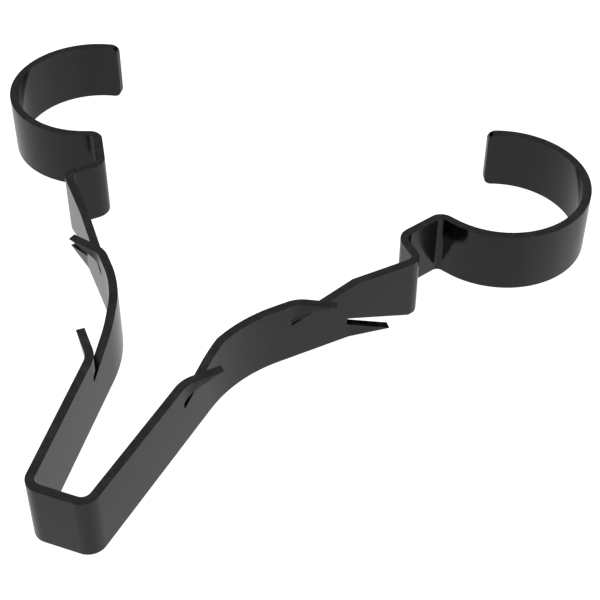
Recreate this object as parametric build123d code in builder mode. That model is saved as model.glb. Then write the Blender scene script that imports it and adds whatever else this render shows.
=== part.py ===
from build123d import *
import math
import os

# Spring-steel strip the whole clip is folded from, in mm
strip_width = 4.0
strip_thickness = 0.5

# One half of the plan, along the strip's inner face, outward from the middle of the nose
nose_width = 2.95
leg_length = 14.0
arm_length = 11.95
return_length = 2.25
neck_length = 3.6
lead_length = 1.24

# Turn of the strip at each fold, in degrees
leg_lean = 6.6
knee_fold = 35.4
arm_fold = 85.7
neck_fold = 74.9
throat_fold = 78.8

# Inside radius of each fold
nose_radius = 0.5
knee_radius = 8.55
arm_radius = 0.35
neck_radius = 0.6
throat_radius = 0.4

# Cable hooks: bore and how far each one wraps, in degrees from its lead
hook_bore = 9.75
right_hook_sweep = 226.0
left_hook_sweep = 194.5
tip_corner_radius = 0.5

# Barbs: notch punched in from the strip's edge, tongue bent outward about an upright line
notch_depth = 1.5
notch_length = 4.2
notch_radius = 0.08
slot_width = 0.44
barb_length = 2.72
barb_tip_height = 0.04
barb_bend_radius = 1.4
upper_barb_angle = 35.0
lower_barb_angle = 10.5

# Where each tongue is rooted: from the nose corner along the leg, from the knee along the arm
leg_barb_root = 8.48
arm_barb_root = 3.75
lower_barb_root = 7.4


def step(start, length, heading):
    # Point a given length from another, along a heading in degrees from the X axis
    angle = math.radians(heading)
    return (start[0] + length * math.cos(angle), start[1] + length * math.sin(angle))


# Headings of the straight runs and the virtual corners between them
leg_heading = 90.0 - leg_lean
arm_heading = leg_heading - knee_fold
return_heading = arm_heading + arm_fold
neck_heading = return_heading - neck_fold
lead_heading = neck_heading - throat_fold
hook_radius = hook_bore / 2

# The nose's outer face and the far side of the hooks lie equally far from the origin
runs = (
    (leg_length, leg_heading),
    (arm_length, arm_heading),
    (return_length, return_heading),
    (neck_length, neck_heading),
    (lead_length, lead_heading),
    (hook_radius, lead_heading + 90),
)
overall_length = 2 * strip_thickness + hook_radius
overall_length += sum(length * math.sin(math.radians(heading)) for length, heading in runs)
nose_inside = strip_thickness - overall_length / 2

nose_corner = (nose_width / 2, nose_inside)
knee_corner = step(nose_corner, leg_length, leg_heading)
arm_corner = step(knee_corner, arm_length, arm_heading)
neck_corner = step(arm_corner, return_length, return_heading)
throat_corner = step(neck_corner, neck_length, neck_heading)
lead_end = step(throat_corner, lead_length, lead_heading)
hook_centre = step(lead_end, hook_radius, lead_heading + 90)


def fold_plane(point, heading):
    # Upright plane through a point: x runs along the heading, y is up
    along = step((0, 0), 1, heading)
    return Plane(
        origin=(point[0], point[1], 0),
        x_dir=(along[0], along[1], 0),
        z_dir=(along[1], -along[0], 0),
    )


def tongue(point, heading, angle):
    # Bent triangular tongue on the strip's upper edge, rooted in the strip behind its bend line
    bend_run = math.radians(angle) * (barb_bend_radius + strip_thickness / 2)
    straight = barb_length - bend_run
    reach = straight + (barb_bend_radius + strip_thickness / 2) * math.sin(math.radians(angle))
    height = notch_depth - slot_width
    along = step((0, 0), 1, heading)
    with BuildPart() as blade:
        with BuildSketch(Plane(origin=(point[0], point[1], strip_width), x_dir=(along[0], along[1], 0))):
            with BuildLine():
                root = Line((-strip_thickness, 0), (0, 0))
                bend = JernArc(root @ 1, root % 1, barb_bend_radius + strip_thickness, -angle)
                Line(bend @ 1, (bend @ 1) + (bend % 1) * straight)
                offset(amount=strip_thickness, side=Side.RIGHT)
            make_face()
        extrude(amount=-height)
        with BuildSketch(fold_plane(point, heading - angle)):
            with BuildLine():
                Polyline(
                    (0, strip_width - height),
                    (reach, strip_width - barb_tip_height),
                    (2 * reach, strip_width - barb_tip_height),
                    (2 * reach, 0),
                    (0, 0),
                    close=True,
                )
            make_face()
        extrude(amount=2 * notch_depth, both=True, mode=Mode.SUBTRACT)
    return blade.part


def notch(point, heading):
    # Wedge punched out under the tongue: a short upright root, and the strip's slanted edge on the far side
    with BuildPart() as punch:
        with BuildSketch(fold_plane(point, heading)) as wedge:
            with BuildLine():
                Polyline(
                    (0, strip_width - notch_depth),
                    (notch_length, strip_width),
                    (notch_length, strip_width + notch_depth),
                    (0, strip_width + notch_depth),
                    close=True,
                )
            make_face()
            fillet(wedge.vertices().sort_by(Axis.Y)[0], radius=notch_radius)
        extrude(amount=2 * strip_thickness, both=True)
    return punch.part


def half_clip(hook_sweep):
    # Strip from the middle of the nose out to one hook, with its barbs
    leg_barb = step(nose_corner, leg_barb_root, leg_heading)
    arm_barb = step(knee_corner, arm_barb_root, arm_heading)
    lower_barb = step(knee_corner, lower_barb_root, arm_heading)
    upside = Plane.XY.offset(strip_width / 2)
    with BuildPart() as half:
        with BuildSketch():
            with BuildLine():
                FilletPolyline(
                    (0, nose_inside),
                    nose_corner,
                    knee_corner,
                    arm_corner,
                    neck_corner,
                    throat_corner,
                    lead_end,
                    radius=(
                        nose_radius,
                        knee_radius + strip_thickness,
                        arm_radius,
                        neck_radius + strip_thickness,
                        throat_radius + strip_thickness,
                    ),
                )
                CenterArc(hook_centre, hook_radius, lead_heading - 90, hook_sweep)
                offset(amount=strip_thickness, side=Side.RIGHT)
            make_face()
        extrude(amount=strip_width)
        tip = step(hook_centre, hook_radius + strip_thickness / 2, lead_heading - 90 + hook_sweep)
        end_face = half.faces().sort_by_distance((tip[0], tip[1], strip_width / 2))[0]
        fillet(end_face.edges().sort_by(SortBy.LENGTH)[:2], radius=tip_corner_radius)
        add(notch(leg_barb, leg_heading), mode=Mode.SUBTRACT)
        add(notch(arm_barb, arm_heading), mode=Mode.SUBTRACT)
        mirror(notch(lower_barb, arm_heading), about=upside, mode=Mode.SUBTRACT)
        add(tongue(leg_barb, leg_heading, upper_barb_angle))
        add(tongue(arm_barb, arm_heading, upper_barb_angle))
        mirror(tongue(lower_barb, arm_heading, lower_barb_angle), about=upside)
    return half.part


with BuildPart() as cable_staple:
    add(half_clip(right_hook_sweep))
    mirror(half_clip(left_hook_sweep), about=Plane.YZ)

cable_staple.part.label = "cable_staple"
cable_staple.part.color = Color(0.05, 0.05, 0.055)

os.makedirs("parts", exist_ok=True)
export_step(cable_staple.part, "parts/cable_staple.step")
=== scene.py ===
import math

import bpy
import numpy as np
from mathutils import Matrix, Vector
from mathutils.geometry import delaunay_2d_cdt


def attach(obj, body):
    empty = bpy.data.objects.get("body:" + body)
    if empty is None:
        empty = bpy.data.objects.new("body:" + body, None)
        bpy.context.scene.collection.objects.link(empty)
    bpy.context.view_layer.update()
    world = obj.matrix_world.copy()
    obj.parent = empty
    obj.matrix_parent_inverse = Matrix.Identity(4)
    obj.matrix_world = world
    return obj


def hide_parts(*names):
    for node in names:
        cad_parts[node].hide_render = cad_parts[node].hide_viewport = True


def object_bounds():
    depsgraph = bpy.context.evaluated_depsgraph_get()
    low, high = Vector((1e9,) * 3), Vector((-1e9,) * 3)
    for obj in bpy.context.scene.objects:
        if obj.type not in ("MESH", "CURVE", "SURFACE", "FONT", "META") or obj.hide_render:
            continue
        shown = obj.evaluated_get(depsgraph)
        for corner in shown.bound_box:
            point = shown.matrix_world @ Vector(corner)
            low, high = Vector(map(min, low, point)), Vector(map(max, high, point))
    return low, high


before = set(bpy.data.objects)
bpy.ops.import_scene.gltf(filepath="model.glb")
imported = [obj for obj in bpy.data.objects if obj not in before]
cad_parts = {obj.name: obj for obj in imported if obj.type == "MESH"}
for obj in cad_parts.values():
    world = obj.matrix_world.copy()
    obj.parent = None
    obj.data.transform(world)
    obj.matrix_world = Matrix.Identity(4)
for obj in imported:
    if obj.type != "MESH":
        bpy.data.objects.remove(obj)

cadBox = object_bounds()
print("stage: frame loaded,", sorted(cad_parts))

# The clip: one strip, its inner face drawn from the middle of the nose out to each hook; mm and degrees
clip = {
    "width": 4.0,
    "thickness": 0.5,
    "runs": (1.475, 14.0, 11.95, 2.25, 3.6, 1.24),  # half nose, leg, arm, return, neck, lead
    "folds": (83.4, -35.4, 85.7, -74.9, -78.8),  # left is positive
    "foldRadii": (0.5, 9.05, 0.35, 1.1, 0.9),  # of the inner face
    "hookRadius": 4.875,
    "hookSweeps": (226.0, 194.5),  # right, left
    "tipRadius": 0.5,
    "tipSteps": 8,
    "edgeRadius": 0.02,  # the sheared edges under their coat
    "edgeSteps": 3,
    "cornerStretch": 3.0,  # the most that a sharp corner lengthens its inset
    "longestStep": 0.45,
    "turnStep": 2.5,
    "rows": 11,
    "clearance": 0.13,  # between the edge's points and the others
    "mergeWithin": 1e-7,
    "lots": 16,  # the points within are measured from the edge in so many lots
}

# The barbs: a wedge notch with an upright root, and the tongue above it bent outward
barb = {
    "places": (  # run, distance along it, bend, on the upper edge or not
        (1, 8.48, 35.0, True),
        (2, 3.75, 35.0, True),
        (2, 7.4, 10.5, False),
    ),
    "notchDepth": 1.5,
    "notchLength": 4.2,
    "slotWidth": 0.44,
    "rootRadius": 0.08,
    "length": 2.72,
    "tipHeight": 0.04,
    "tipShare": 0.3,  # the pointed tip has less room for its rounded edge
    "bendRadius": 1.4,
    "cornerStep": 0.02,  # keeps the corners of the tip crisp
    "bendSteps": 8,
    "bladeSteps": 6,
    "crookSteps": 4,
    "rootSteps": 6,
    "slantSteps": 11,
    "fillRows": (0.33, 0.67),  # of the tongue's height
}


def chord(length, curve, heading):
    # Run of a constant-curve line: length * sinc(turn / 2), along the heading halfway round its turn
    turn = curve * length
    reach = length * np.sinc(turn / (2 * np.pi))
    return np.stack((reach * np.cos(heading + turn / 2), reach * np.sin(heading + turn / 2)), axis=-1)


def layPath():
    # Straight runs and fold arcs in turn, each with its length, curvature, start and heading
    folds, radii = np.radians(clip["folds"]), np.array(clip["foldRadii"])
    taken = radii * np.tan(np.abs(folds) / 2)
    straight = np.array(clip["runs"])
    straight[:-1] -= taken
    straight[1:] -= taken
    lengths = np.zeros(2 * len(straight))
    curves = np.zeros_like(lengths)
    lengths[0::2] = straight
    lengths[1:-1:2] = radii * np.abs(folds)
    curves[1:-1:2] = np.sign(folds) / radii
    lengths[-1] = clip["hookRadius"] * math.radians(max(clip["hookSweeps"]))
    curves[-1] = 1 / clip["hookRadius"]
    headings = np.concatenate(([0.0], np.cumsum(lengths * curves)[:-1]))
    starts = np.concatenate(([0.0], np.cumsum(lengths)[:-1]))
    nose = np.array((0, cadBox[0].y * 1000 + clip["thickness"]))
    points = nose + np.vstack(((0, 0), np.cumsum(chord(lengths, curves, headings), axis=0)[:-1]))
    path = dict(lengths=lengths, curves=curves, headings=headings, starts=starts, points=points)
    path["tips"] = [starts[-1] + clip["hookRadius"] * math.radians(sweep) for sweep in clip["hookSweeps"]]
    path["roots"] = [starts[2 * run] + along - taken[run - 1] for run, along, _, _ in barb["places"]]
    return path


path = layPath()
barbs = [(root, bend, upper) for root, (_, _, bend, upper) in zip(path["roots"], barb["places"])]


def onPath(along):
    # Point and heading of the inner face at a distance from the nose
    part = np.clip(np.searchsorted(path["starts"], along, side="right") - 1, 0, len(path["starts"]) - 1)
    rest = along - path["starts"][part]
    curve, heading = path["curves"][part], path["headings"][part]
    return path["points"][part] + chord(rest, curve, heading), heading + curve * rest


def pathStations():
    # Distances along one half: even steps on each run and arc, none too long and none turning too far
    turns = np.degrees(np.abs(path["curves"] * path["lengths"]))
    counts = np.ceil(np.maximum(path["lengths"] / clip["longestStep"], turns / clip["turnStep"])).astype(int)
    pieces = zip(path["starts"], path["lengths"], counts)
    spans = [np.linspace(start, start + run, count, endpoint=False) for start, run, count in pieces]
    return np.concatenate(spans)


stations = pathStations()
tongueHeight = barb["notchDepth"] - barb["slotWidth"]
tongueBend = barb["bendRadius"] + clip["thickness"]  # of the tongue's inner face


def tongueSizes(bend):
    # On a tongue's inner face, length of its bend and of the whole; then its reach and its edge's slope
    turn = math.radians(bend)
    middle = barb["bendRadius"] + clip["thickness"] / 2
    flat = barb["length"] - turn * middle
    whole = turn * tongueBend + flat
    slope = (tongueHeight - barb["tipHeight"]) / whole
    return turn * tongueBend, whole, flat + middle * math.sin(turn), slope


def tongueSteps(bendRun, whole):
    # Distances along a tongue: even steps round its bend, then even steps along its blade, short of the tip
    blade = np.linspace(bendRun, whole, barb["bladeSteps"] + 1)[1:-1]
    return np.concatenate((np.linspace(0, bendRun, barb["bendSteps"] + 1), blade))


def onTongue(blank, root, bend, upper):
    # Which points of the blank are on a tongue: past its root and above the middle of its slot
    _, whole, _, slope = tongueSizes(bend)
    out = np.abs(blank[:, 0]) - root
    rise = blank[:, 1] if upper else clip["width"] - blank[:, 1]
    slot = clip["width"] - barb["notchDepth"] + barb["slotWidth"] / 2 + slope * out
    return out, rise, (out > 0) & (out < whole + clip["clearance"]) & (rise > slot)


def foldBlank(blank, deep):
    # Folds flat points (along, up) of the blank: spot(along) + deep * right normal, mirrored about the nose.
    # A tongue leaves the strip on an arc of its own, and its slanted edge is cut square to its blade.
    up = blank[:, 1].copy()
    spot, heading = onPath(np.abs(blank[:, 0]))
    for root, bend, upper in barbs:
        bendRun, _, reach, slope = tongueSizes(bend)
        out, rise, on = onTongue(blank, root, bend, upper)
        out, rise = out[on], rise[on]
        start, away = onPath(np.array([root]))
        turned = np.minimum(out, bendRun)
        last = away - bendRun / tongueBend
        toward = np.stack((np.cos(last), np.sin(last)), axis=-1)
        leaf = chord(turned, -1 / tongueBend, away) + (out - turned)[:, None] * toward
        angle = away - turned / tongueBend
        side = np.stack((np.sin(angle), -np.cos(angle)), axis=-1)
        ahead = (leaf + deep[on, None] * side) @ toward[0]
        # At the root the cut is level right through the strip
        ahead -= deep[on] * math.sin(bendRun / tongueBend) * np.clip(1 - out / bendRun, 0, 1)
        cut = tongueHeight - (tongueHeight - barb["tipHeight"]) * ahead / reach
        cut = np.clip(cut, barb["tipHeight"], tongueHeight) / (tongueHeight - slope * out)
        rise = clip["width"] - (clip["width"] - rise) * cut
        spot[on], heading[on] = start + leaf, angle
        up[on] = rise if upper else clip["width"] - rise
    right = np.stack((np.sin(heading), -np.cos(heading)), axis=-1)
    mirror = np.where(blank[:, 0] < 0, -1.0, 1.0)
    flat = spot + deep[:, None] * right
    level = np.zeros_like(up)
    points = np.stack((flat[:, 0] * mirror, flat[:, 1], up), axis=-1)
    normal = np.stack((right[:, 0] * mirror, right[:, 1], level), axis=-1)
    tangent = np.stack((np.cos(heading), mirror * np.sin(heading), level), axis=-1)
    return points, normal, tangent


def barbEdge(root, bend):
    # Edge of the blank round one barb: out along the tongue, back under it, down the slot and up its slant
    top, radius, near = clip["width"], barb["rootRadius"], barb["cornerStep"]
    bendRun, whole, _, slope = tongueSizes(bend)
    out = np.concatenate((tongueSteps(bendRun, whole), (whole - near, whole)))
    over = np.stack((out, np.full_like(out, top)), axis=-1)
    under = np.stack((out, top - tongueHeight + slope * out), axis=-1)[:0:-1]
    small, lean = radius / 2, math.atan(slope)
    turn = np.linspace(lean, math.pi / 2, barb["crookSteps"] + 1)
    crook = small * np.stack((1 - np.sin(turn), np.cos(turn)), axis=-1)
    crook += (0, top - tongueHeight + slope * small - small / math.cos(lean))
    rise = math.atan2(barb["notchDepth"], barb["notchLength"])
    turn = np.linspace(math.pi, 1.5 * math.pi + rise, barb["rootSteps"] + 1)
    low = top - barb["notchDepth"] + radius / math.tan((math.pi / 2 - rise) / 2)
    ring = np.stack((radius + radius * np.cos(turn), low + radius * np.sin(turn)), axis=-1)
    end = np.array((barb["notchLength"], top))
    span = end - ring[-1]
    slant = ring[-1] + np.linspace(0, 1, barb["slantSteps"] + 1)[1:-1, None] * span
    lip = np.array((end - near * span / np.linalg.norm(span), end, end + (near, 0)))
    return np.concatenate((over, under, crook, ring, slant, lip)) + (root, 0)


def edgeHalf(tongues, end):
    # One long edge of half the blank, from the nose to where the tip's corner begins
    def plainEdge(start, stop):
        free = stations[(stations > start + clip["clearance"]) & (stations < stop - clip["clearance"])]
        return np.stack((free, np.full_like(free, clip["width"])), axis=-1)

    pieces, done = [], 0.0
    for root, bend in tongues:
        edge = barbEdge(root, bend)
        pieces += [plainEdge(done, root), edge]
        done = edge[-1, 0]
    return np.concatenate(pieces + [plainEdge(done, end), [(end, clip["width"])]])


def tipEdge(end):
    # Rounded end of the strip, from its lower corner up to its upper one
    radius, top = clip["tipRadius"], clip["width"]
    turn = np.linspace(0, math.pi / 2, clip["tipSteps"] + 1)
    lower = np.stack((end - radius + radius * np.sin(turn), radius - radius * np.cos(turn)), axis=-1)
    rows = np.linspace(radius, top - radius, clip["rows"] - 1)[1:-1]
    between = np.stack((np.full_like(rows, end), rows), axis=-1)
    return np.concatenate((lower[1:], between, (lower * (1, -1) + (0, top))[::-1][:-1]))


def blankOutline():
    # Closed edge of the flat blank, anticlockwise from the nose, first along the lower edge to the right tip
    above = [(root, bend) for root, bend, upper in barbs if upper]
    below = [(root, bend) for root, bend, upper in barbs if not upper]
    flip, back, lift = np.array((1, -1)), np.array((-1, 1)), np.array((0, clip["width"]))
    right, left = path["tips"]
    return np.concatenate((
        edgeHalf(below, right - clip["tipRadius"]) * flip + lift,
        tipEdge(right),
        edgeHalf(above, right - clip["tipRadius"])[::-1],
        edgeHalf(above, left - clip["tipRadius"])[1:] * back,
        tipEdge(left)[::-1] * back,
        ((edgeHalf(below, left - clip["tipRadius"]) * flip + lift) * back)[:0:-1],
    ))


def edgeInsets(loop):
    # At each point of the edge: unit step into the blank, how much longer a corner needs it, and the radius
    ahead = np.roll(loop, -1, axis=0) - loop
    ahead /= np.linalg.norm(ahead, axis=1, keepdims=True)
    inward = np.stack((-ahead[:, 1], ahead[:, 0]), axis=-1)
    step = inward + np.roll(inward, 1, axis=0)
    step /= np.linalg.norm(step, axis=1, keepdims=True)
    stretch = 1 / np.maximum(np.sum(step * inward, axis=1), 1 / clip["cornerStretch"])
    radius = np.full(len(loop), clip["edgeRadius"])
    for root, bend, upper in barbs:
        out, _, on = onTongue(loop, root, bend, upper)
        left = tongueHeight - tongueSizes(bend)[3] * out[on]
        radius[on] = np.minimum(radius[on], barb["tipShare"] * left)
    return step, stretch, radius


def insideLoop(points, loop):
    # Even-odd test of many points against the closed edge
    ahead = np.roll(loop, -1, axis=0)
    span = ahead - loop
    crosses = (loop[None, :, 1] > points[:, None, 1]) != (ahead[None, :, 1] > points[:, None, 1])
    with np.errstate(divide="ignore", invalid="ignore"):
        at = loop[:, 0] + (points[:, None, 1] - loop[:, 1]) * span[:, 0] / span[:, 1]
    return np.sum(crosses & (points[:, None, 0] < at), axis=1) % 2 == 1


def fromSegments(points, loop):
    # Shortest distance from each point to the closed edge: to its foot on every segment, then the least
    span = np.roll(loop, -1, axis=0) - loop
    away = points[:, None] - loop[None]
    share = np.clip(np.sum(away * span, axis=2) / np.sum(span * span, axis=1), 0, 1)
    return np.min(np.linalg.norm(away - share[..., None] * span, axis=2), axis=1)


def facePoints(loop):
    # Points within the blank: a grid on the fold stations, and columns of their own on the tongues
    rows = np.linspace(0, clip["width"], clip["rows"])[1:-1]
    columns = np.concatenate((-stations[:0:-1], stations))
    grid = np.stack(np.meshgrid(columns, rows, indexing="ij"), axis=-1).reshape(-1, 2)
    for root, bend, upper in barbs:
        bendRun, whole, _, slope = tongueSizes(bend)
        grid = grid[~onTongue(grid, root, bend, upper)[2]]
        out = tongueSteps(bendRun, whole)[:-1, None]
        rise = clip["width"] - (tongueHeight - slope * out) * barb["fillRows"]
        fill = np.stack(np.broadcast_arrays(out + root, rise), axis=-1).reshape(-1, 2)
        if not upper:
            fill = fill * (1, -1) + (0, clip["width"])
        grid = np.concatenate((grid, fill, fill * (-1, 1)))
    kept, aways = [], []
    for lot in np.array_split(grid, clip["lots"]):
        lot = lot[insideLoop(lot, loop)]
        away = fromSegments(lot, loop)
        clear = away > clip["clearance"]
        kept.append(lot[clear])
        aways.append(away[clear])
    return np.concatenate(kept), np.concatenate(aways)


def foldClip():
    # Two faces filled inside the edge, and between them the rounded edge: a profile carried along the outline
    loop = blankOutline()
    step, stretch, radius = edgeInsets(loop)
    thick, count = clip["thickness"], len(loop)
    inner, away = facePoints(loop)
    face = np.concatenate((loop + step * (stretch * radius)[:, None], inner))
    links = np.stack((np.arange(count), np.roll(np.arange(count), -1)), axis=-1)
    tris = np.array(delaunay_2d_cdt(face.tolist(), links.tolist(), [], 1, clip["mergeWithin"])[2])
    total = len(face)
    quarter = np.linspace(0, math.pi / 2, clip["edgeSteps"] + 1)
    turn = np.concatenate((quarter[1:], quarter[:-1] + math.pi / 2))[:, None]  # outer face to inner
    sunk = radius * (1 - np.abs(np.cos(turn)))
    sunk[:clip["edgeSteps"]] = thick - sunk[:clip["edgeSteps"]]
    edge = loop + (stretch * radius * (1 - np.sin(turn)))[..., None] * step
    blank = np.concatenate((face, face, edge.reshape(-1, 2)))
    deep = np.concatenate((np.full(total, thick), np.zeros(total), sunk.ravel()))
    points, normal, tangent = foldBlank(blank, deep)
    rings = len(turn)
    inset = np.tile(step, (rings, 1))
    outward = -tangent[2 * total:] * inset[:, :1] - inset[:, 1:] * np.array((0, 0, 1))
    turns = np.repeat(turn, count, axis=0)
    rolled = np.sin(turns) * outward + np.cos(turns) * normal[2 * total:]
    normals = np.concatenate((normal[:total], -normal[total:2 * total], rolled))
    ring = 2 * total + np.arange(rings * count).reshape(rings, count)
    ring = np.vstack((np.arange(count), ring, total + np.arange(count)))
    ahead = np.roll(ring, -1, axis=1)
    quads = np.stack((ring[:-1], ring[1:], ahead[1:], ahead[:-1]), axis=-1).reshape(-1, 4)
    fromEdge = np.concatenate((np.zeros(count), away, np.zeros(count), away, np.zeros(rings * count)))
    return points / 1000, normals, np.concatenate((tris, tris[:, ::-1] + total)), quads, blank, deep, fromEdge


def meshFrom(name, points, normals, tris, quads):
    # Smooth mesh with the normals that the shape's formula gives
    mesh = bpy.data.meshes.new(name)
    mesh.from_pydata(points.tolist(), [], tris.tolist() + quads.tolist())
    mesh.update()
    mesh.polygons.foreach_set("use_smooth", np.ones(len(mesh.polygons), dtype=bool))
    mesh.normals_split_custom_set_from_vertices(normals.tolist())
    thing = bpy.data.objects.new(name, mesh)
    bpy.context.scene.collection.objects.link(thing)
    return thing


def noteOnMesh(piece, name, kind, field, values):
    # Attribute of the piece's points, for the coat to follow
    piece.data.attributes.new(name, kind, "POINT").data.foreach_set(field, values.astype(np.float32).ravel())


points, normals, tris, quads, blank, deep, fromEdge = foldClip()
foldedClip = meshFrom("folded_clip", points, normals, tris, quads)
# Along, up and deep on the flat blank, and the distance in from its sheared edge; mm
noteOnMesh(foldedClip, "blank", "FLOAT_VECTOR", "vector", np.column_stack((blank, deep)))
noteOnMesh(foldedClip, "fromEdge", "FLOAT", "value", fromEdge)
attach(foldedClip, "root")
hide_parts("cable_staple")
print("stage: clip folded,", len(foldedClip.data.vertices), "points,", len(foldedClip.data.polygons), "faces")

# The coat: smooth black over rolled strip, a little thinner and duller along the sheared edges; sizes in mm
finish = {
    "black": (0.0006, 0.0006, 0.0006, 1),
    "thin": (0.025, 0.025, 0.0255, 1),  # where the steel begins to show through
    "thinReach": 0.22,
    "thinRoughness": 0.19,
    "glossRoughness": (0.105, 0.135),
    "grainSheen": (0.46, 0.54),
    "clouds": (0.7, 3),  # per mm, detail
    "patches": (1.9, 4),
    "peel": (4.5, 2),
    "grain": (6.0, 3),
    "noiseSpan": (0.3, 0.7),  # most of a noise lies between these
    "patchSpan": (0.46, 0.68),
    "cloudTone": 0.02,
    "rollLines": (0.3, 11.0, 0.0),  # per mm along, up and deep
    "shearLines": (13.0, 13.0, 1.2),
    "lineDetail": 2,
    "rollDepth": 0.0009,
    "shearDepth": 0.003,
    "peelDepth": 0.0022,
}


def wire(tree, kind, settings, inputs):
    # New node with its settings; an input is a value or the socket that feeds it
    node = tree.nodes.new(kind)
    for name, value in settings.items():
        setattr(node, name, value)
    for name, value in inputs.items():
        if isinstance(value, bpy.types.NodeSocket):
            tree.links.new(value, node.inputs[name])
        else:
            node.inputs[name].default_value = value
    return node


def blackCoat():
    # Colour, gloss and relief all follow the flat blank, so the marks run with the strip round every fold
    coat = bpy.data.materials.new("blackCoat")
    coat.use_nodes = True
    tree = coat.node_tree
    shader = tree.nodes["Principled BSDF"]
    spot = wire(tree, "ShaderNodeAttribute", {"attribute_name": "blank"}, {}).outputs["Vector"]
    inward = wire(tree, "ShaderNodeAttribute", {"attribute_name": "fromEdge"}, {}).outputs["Fac"]

    def noise(vector, perMm, detail):
        inputs = {"Vector": vector, "Scale": perMm, "Detail": detail}
        return wire(tree, "ShaderNodeTexNoise", {}, inputs).outputs["Fac"]

    def lines(perMm):
        stretched = wire(tree, "ShaderNodeMapping", {}, {"Vector": spot, "Scale": perMm}).outputs["Vector"]
        return noise(stretched, 1.0, finish["lineDetail"])

    def fade(value, start, end, low, high):
        limits = {"Value": value, "From Min": start, "From Max": end, "To Min": low, "To Max": high}
        return wire(tree, "ShaderNodeMapRange", {}, limits).outputs["Result"]

    # Colour: near black, with the steel showing faintly in patches along the edges
    clouds = noise(spot, *finish["clouds"])
    rim = fade(inward, 0.0, finish["thinReach"], 1.0, 0.0)
    patches = fade(noise(spot, *finish["patches"]), *finish["patchSpan"], 0.0, 1.0)
    thin = wire(tree, "ShaderNodeMath", {"operation": "MULTIPLY"}, {0: rim, 1: patches}).outputs[0]
    shades = {0: clouds, 1: finish["cloudTone"], 2: thin}
    tone = wire(tree, "ShaderNodeMath", {"operation": "MULTIPLY_ADD"}, shades).outputs[0]
    tint = wire(tree, "ShaderNodeValToRGB", {}, {"Fac": tone})
    tint.color_ramp.elements[0].color = finish["black"]
    tint.color_ramp.elements[1].color = finish["thin"]
    tree.links.new(tint.outputs["Color"], shader.inputs["Base Color"])

    # Gloss: slow clouds, duller where the coat is thin, and a fine grain
    gloss = fade(clouds, *finish["noiseSpan"], *finish["glossRoughness"])
    dull = wire(tree, "ShaderNodeMix", {}, {"Factor": thin, "A": gloss, "B": finish["thinRoughness"]})
    tree.links.new(dull.outputs["Result"], shader.inputs["Roughness"])
    sheen = fade(noise(spot, *finish["grain"]), *finish["noiseSpan"], *finish["grainSheen"])
    tree.links.new(sheen, shader.inputs["Specular IOR Level"])

    # Relief: roll lines on the faces, shear lines on the cut edges, and the paint's soft peel over both
    cut = fade(inward, 0.0, clip["edgeRadius"], 1.0, 0.0)
    scores = {"Factor": cut, "A": lines(finish["rollLines"]), "B": lines(finish["shearLines"])}
    marks = wire(tree, "ShaderNodeMix", {}, scores).outputs["Result"]
    depth = fade(inward, 0.0, clip["edgeRadius"], finish["shearDepth"] / 1000, finish["rollDepth"] / 1000)
    scored = wire(tree, "ShaderNodeBump", {}, {"Height": marks, "Distance": depth}).outputs["Normal"]
    ripple = noise(spot, *finish["peel"])
    relief = {"Height": ripple, "Distance": finish["peelDepth"] / 1000, "Normal": scored}
    peel = wire(tree, "ShaderNodeBump", {}, relief)
    tree.links.new(peel.outputs["Normal"], shader.inputs["Normal"])
    return coat


foldedClip.data.materials.append(blackCoat())
print("stage: coat laid on")

# The camera stands where the photograph's did; degrees, mm of lens and metres
view = {
    "azimuth": 20.374,
    "elevation": 42.847,
    "roll": 0.375,
    "lens": 84.852,
    "sensor": 36,
    "place": (0.026510, -0.055818, 0.058048),
    "range": (0.001, 20),
}


def aimCamera():
    # Looks down along its azimuth and elevation, then rolls about that line
    turn, rise = math.radians(view["azimuth"]), math.radians(view["elevation"])
    back = np.array((math.sin(turn) * math.cos(rise), -math.cos(turn) * math.cos(rise), math.sin(rise)))
    right = np.array((math.cos(turn), math.sin(turn), 0))
    axes = np.column_stack((right, np.cross(back, right), back))
    matrix = Matrix(axes.tolist()) @ Matrix.Rotation(math.radians(view["roll"]), 3, "Z")
    data = bpy.data.cameras.new("photoCamera")
    data.lens, data.sensor_width = view["lens"], view["sensor"]
    data.clip_start, data.clip_end = view["range"]
    camera = bpy.data.objects.new("photoCamera", data)
    camera.matrix_world = Matrix.Translation(view["place"]) @ matrix.to_4x4()
    bpy.context.scene.collection.objects.link(camera)
    bpy.context.scene.camera = camera


aimCamera()

# Pale floor, lit to near white, and a plain soft dome: bright from below, dark at eye level, lighter overhead
studio = {
    "floorHalf": 4.0,
    "floorDrop": 1e-5,
    "floorGrey": 0.8,
    "floorRoughness": 0.9,
    "floorGlow": 1.0,
    # Sine of the height and the level there
    "domeLevels": ((-0.02, 0.70), (0.03, 0.0), (0.46, 0.0), (0.53, 0.37), (0.78, 0.56)),
    "sideGains": (("X", 0.45, 0.80, 1.14), ("Y", 0.25, 0.70, 0.86)),  # fades from, to, gain
    "backdrop": 1.0,
}


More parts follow.
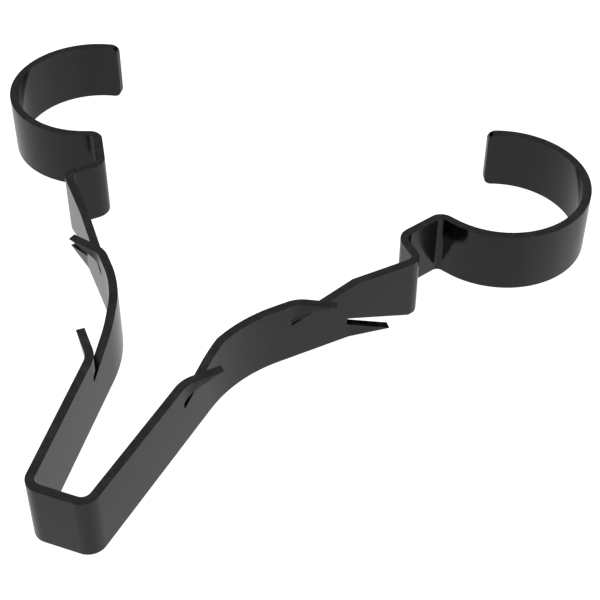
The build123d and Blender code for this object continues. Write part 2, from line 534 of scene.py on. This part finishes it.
def layFloor():
    # One wide square just under the clip
    half, low, grey = studio["floorHalf"], -studio["floorDrop"], studio["floorGrey"]
    corners = [(-half, -half, low), (half, -half, low), (half, half, low), (-half, half, low)]
    mesh = bpy.data.meshes.new("floor")
    mesh.from_pydata(corners, [], [(0, 1, 2, 3)])
    floor = bpy.data.objects.new("floor", mesh)
    bpy.context.scene.collection.objects.link(floor)
    pale = bpy.data.materials.new("paleFloor")
    pale.use_nodes = True
    surface = pale.node_tree.nodes["Principled BSDF"]
    surface.inputs["Base Color"].default_value = (grey, grey, grey, 1)
    surface.inputs["Roughness"].default_value = studio["floorRoughness"]
    surface.inputs["Emission Color"].default_value = (1, 1, 1, 1)
    surface.inputs["Emission Strength"].default_value = studio["floorGlow"]
    mesh.materials.append(pale)
    floor.visible_glossy = floor.visible_diffuse = False  # the dome below it lights the clip


def lightDome():
    # Light by the sine of its height, times a gain on two sides; seen directly, the dome is plain white
    world = bpy.data.worlds.new("studio")
    bpy.context.scene.world = world
    world.use_nodes = True
    tree = world.node_tree
    tree.nodes.clear()
    where = wire(tree, "ShaderNodeTexCoord", {}, {}).outputs["Generated"]
    axes = wire(tree, "ShaderNodeSeparateXYZ", {}, {"Vector": where}).outputs
    height = wire(tree, "ShaderNodeMapRange", {}, {"Value": axes["Z"], "From Min": -1.0})
    dome = wire(tree, "ShaderNodeValToRGB", {}, {"Fac": height.outputs["Result"]})
    stops = dome.color_ramp.elements
    while len(stops) < len(studio["domeLevels"]):
        stops.new(0.5)
    for stop, (sine, level) in zip(stops, studio["domeLevels"]):
        stop.position, stop.color = (sine + 1) / 2, (level, level, level, 1)
    light = dome.outputs["Color"]
    for axis, start, end, gain in studio["sideGains"]:
        limits = {"Value": axes[axis], "From Min": start, "From Max": end, "To Min": 1.0, "To Max": gain}
        fade = wire(tree, "ShaderNodeMapRange", {"interpolation_type": "SMOOTHSTEP"}, limits)
        gained = {0: light, 1: fade.outputs["Result"]}
        light = wire(tree, "ShaderNodeMath", {"operation": "MULTIPLY"}, gained).outputs[0]
    seen = wire(tree, "ShaderNodeLightPath", {}, {}).outputs["Is Camera Ray"]
    plain = wire(tree, "ShaderNodeMix", {}, {"Factor": seen, "A": light, "B": studio["backdrop"]})
    white = {"Color": (1, 1, 1, 1), "Strength": plain.outputs["Result"]}
    glow = wire(tree, "ShaderNodeBackground", {}, white)
    wire(tree, "ShaderNodeOutputWorld", {}, {"Surface": glow.outputs["Background"]})


layFloor()
lightDome()
bpy.context.scene.view_settings.view_transform = "Standard"
print("stage: studio ready")

print("stage: finished")
